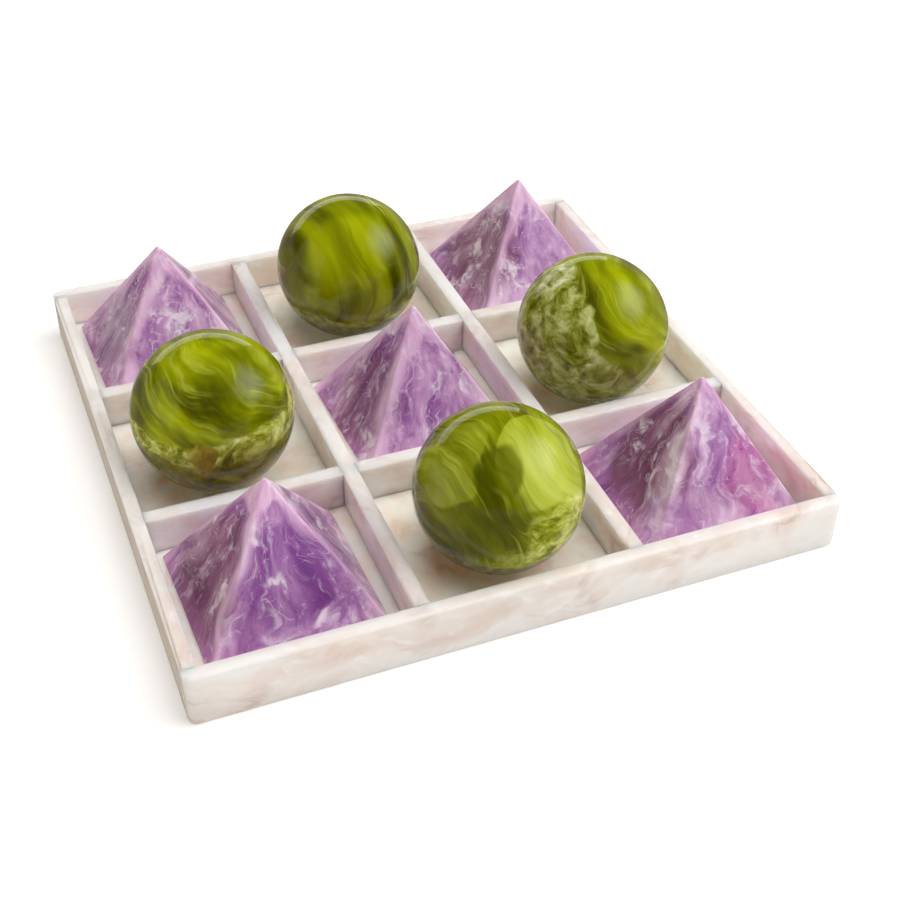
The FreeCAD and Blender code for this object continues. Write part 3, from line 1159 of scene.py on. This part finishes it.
@dataclass(frozen=True)
class Softbox:
    """A rectangular softbox that faces the set and fades towards its edges."""

    name: str
    place: tuple[float, float, float]
    aim: tuple[float, float, float]
    width: float
    height: float
    radiance: float
    fading: float = 0.0
    mirrored: bool = True
    colour: tuple[float, float, float] = (1.0, 1.0, 1.0)

    def fade_out(self, data: bpy.types.AreaLight) -> None:
        """Dim the light towards its edges, over a share of its half width and half height.

        Args:
            data: the lamp.
        """
        data.use_nodes = True
        tree = data.node_tree
        tree.nodes.clear()
        across = add_node(tree, "ShaderNodeNewGeometry").outputs["Parametric"]
        parts = add_node(tree, "ShaderNodeSeparateXYZ", {"Vector": across}).outputs
        strength = None
        for part in ("X", "Y"):
            off = add_node(tree, "ShaderNodeMath", {0: parts[part], 1: 0.5}, operation="SUBTRACT").outputs[0]
            away = add_node(tree, "ShaderNodeMath", {0: off}, operation="ABSOLUTE").outputs[0]
            edge = add_node(tree, "ShaderNodeMapRange", {
                "Value": away, "From Min": 0.5, "From Max": 0.5 - 0.5 * self.fading,
            }, interpolation_type="SMOOTHSTEP").outputs["Result"]
            strength = edge if strength is None else add_node(
                tree, "ShaderNodeMath", {0: strength, 1: edge}, operation="MULTIPLY").outputs[0]
        emission = add_node(tree, "ShaderNodeEmission", {"Strength": strength})
        add_node(tree, "ShaderNodeOutputLight", {"Surface": emission.outputs["Emission"]})

    def build(self) -> None:
        """Hang the softbox; its power is pi times its area times its radiance."""
        data = bpy.data.lights.new(self.name, "AREA")
        data.shape = "RECTANGLE"
        data.size, data.size_y = self.width, self.height
        data.energy = math.pi * self.width * self.height * self.radiance
        data.color = self.colour
        if self.fading:
            self.fade_out(data)
        light = bpy.data.objects.new(self.name, data)
        light.location = self.place
        light.rotation_euler = (Vector(self.aim) - Vector(self.place)).to_track_quat("-Z", "Y").to_euler()
        light.visible_camera = False
        light.visible_glossy = self.mirrored
        bpy.context.scene.collection.objects.link(light)


@dataclass(frozen=True)
class Studio:
    """A plain pale floor, soft light from the right, a dimmer panel on the left, and the camera.

    The floor glows by near_glow up to near and by far_glow from far out. Round about, the light is
    low below the horizon, white in a sweep above it up to sweep_foot, and dark from sweep_top on.
    """

    floor_half: float = 30.0
    floor_roughness: float = 0.9
    near: float = 0.6
    far: float = 1.6
    near_glow: float = 0.25
    far_glow: float = 1.0
    white: float = 0.6
    low: float = 0.4
    dark: float = 0.08
    horizon: float = 0.05
    sweep_foot: float = 0.08
    sweep_top: float = 0.24
    azimuth_deg: float = -21.9
    elevation_deg: float = 38.5
    distance_in_sides: float = 2.396
    aim_in_sides: tuple[float, float] = (0.038, -0.0744)
    roll_deg: float = 0.56
    lens_mm: float = 58.3

    def softboxes(self) -> list[Softbox]:
        """The lights: the key on the right, one overhead, and dimmer panels on the left and behind."""
        aim = (0.0, 0.0, 0.03)
        return [
            Softbox("key", (1.6, -0.5, 1.4), aim, width=2.8, height=2.3, radiance=3.35, fading=0.9),
            Softbox("overhead", (0.3, -0.15, 1.7), aim, width=1.8, height=1.8, radiance=2.95,
                    mirrored=False),
            Softbox("left_panel", (-1.25, 0.1, 0.55), aim, width=1.3, height=0.9, radiance=0.5,
                    colour=(1.0, 0.84, 0.62)),
            Softbox("back_panel", (0.1, 1.7, 0.45), aim, width=2.2, height=0.5, radiance=1.3),
        ]

    def floor(self) -> None:
        """A wide floor of matt white board, lit from within far out so that it fades into the background."""
        corners = np.array([(-1, -1, 0), (1, -1, 0), (1, 1, 0), (-1, 1, 0)], float) * self.floor_half
        mesh = bpy.data.meshes.new("studio_floor")
        mesh.from_pydata(corners, [], [(0, 1, 2, 3)])
        material = bpy.data.materials.new("painted board, matt white")
        material.use_nodes = True
        tree = material.node_tree
        tree.nodes.clear()
        place = add_node(tree, "ShaderNodeTexCoord").outputs["Object"]
        away = add_node(tree, "ShaderNodeVectorMath", {0: place}, operation="LENGTH").outputs["Value"]
        glow = add_node(tree, "ShaderNodeMapRange", {
            "Value": away, "From Min": self.near, "From Max": self.far,
            "To Min": self.near_glow, "To Max": self.far_glow,
        }, interpolation_type="SMOOTHSTEP").outputs["Result"]
        shader = add_node(tree, "ShaderNodeBsdfPrincipled", {
            "Base Color": linear("#F6F6F6"), "Roughness": self.floor_roughness,
            "Emission Color": linear("#FFFFFF"), "Emission Strength": glow,
        })
        add_node(tree, "ShaderNodeOutputMaterial", {"Surface": shader.outputs["BSDF"]})
        mesh.materials.append(material)
        board = bpy.data.objects.new("studio_floor", mesh)
        board.visible_glossy = False
        bpy.context.scene.collection.objects.link(board)
        board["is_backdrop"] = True

    def surroundings(self) -> None:
        """A dark room with a white sweep low down all round, which the camera sees as plain white."""
        world = bpy.data.worlds.new("studio")
        bpy.context.scene.world = world
        world.use_nodes = True
        tree = world.node_tree
        tree.nodes.clear()
        direction = add_node(tree, "ShaderNodeTexCoord").outputs["Generated"]
        up = add_node(tree, "ShaderNodeSeparateXYZ", {"Vector": direction}).outputs["Z"]
        falling = add_node(tree, "ShaderNodeMapRange", {
            "Value": up, "From Min": self.sweep_foot, "From Max": self.sweep_top,
            "To Min": self.white, "To Max": self.dark,
        }, interpolation_type="SMOOTHSTEP").outputs["Result"]
        rising = add_node(tree, "ShaderNodeMapRange", {
            "Value": up, "From Min": -self.horizon, "From Max": self.horizon,
            "To Min": self.low, "To Max": self.white,
        }, interpolation_type="SMOOTHSTEP").outputs["Result"]
        level = add_node(tree, "ShaderNodeMath", {0: falling, 1: rising}, operation="MINIMUM").outputs[0]
        seen = add_node(tree, "ShaderNodeLightPath").outputs["Is Camera Ray"]
        strength = add_node(tree, "ShaderNodeMath", {0: level, 1: seen}, operation="MAXIMUM").outputs[0]
        colour = add_node(tree, "ShaderNodeMix", {0: seen, 6: linear("#F6E2CA"), 7: linear("#FFFFFF")},
                          data_type="RGBA").outputs[2]
        back = add_node(tree, "ShaderNodeBackground", {"Color": colour, "Strength": strength})
        add_node(tree, "ShaderNodeOutputWorld", {"Surface": back.outputs["Background"]})

    def camera(self, side: float) -> None:
        """Set up the camera.

        Args:
            side: the tray's side in metres, which its distance and aim are measured in.
        """
        azimuth, elevation = math.radians(self.azimuth_deg), math.radians(self.elevation_deg)
        back = Vector((math.sin(azimuth) * math.cos(elevation), -math.cos(azimuth) * math.cos(elevation),
                       math.sin(elevation)))
        data = bpy.data.cameras.new("camera")
        data.lens = self.lens_mm
        camera = bpy.data.objects.new("camera", data)
        camera.location = Vector((*self.aim_in_sides, 0.0)) * side + back * self.distance_in_sides * side
        camera.rotation_mode = "QUATERNION"
        roll = Quaternion((0.0, 0.0, 1.0), math.radians(self.roll_deg))
        camera.rotation_quaternion = (-back).to_track_quat("-Z", "Y") @ roll
        bpy.context.scene.collection.objects.link(camera)
        bpy.context.scene.camera = camera

    def build(self, side: float) -> None:
        """Set up the whole studio.

        Args:
            side: the tray's side in metres.
        """
        self.camera(side)
        self.surroundings()
        self.floor()
        for softbox in self.softboxes():
            softbox.build()
        bpy.context.scene.view_settings.view_transform = "Standard"


def main() -> None:
    """Build the studio and the set."""
    logging.basicConfig(level=logging.INFO, format="%(name)s: %(message)s")
    cad_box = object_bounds()
    side = cad_box[1][0] - cad_box[0][0]
    Studio().build(side)
    Tray().build()
    for number, pyramid in enumerate(pyramids(), start=FIRST_PYRAMID_DRAW):
        pyramid.build(number)
    for number, ball in enumerate(balls(), start=FIRST_BALL_DRAW):
        ball.build(number)


if __name__ == "__main__":
    main()
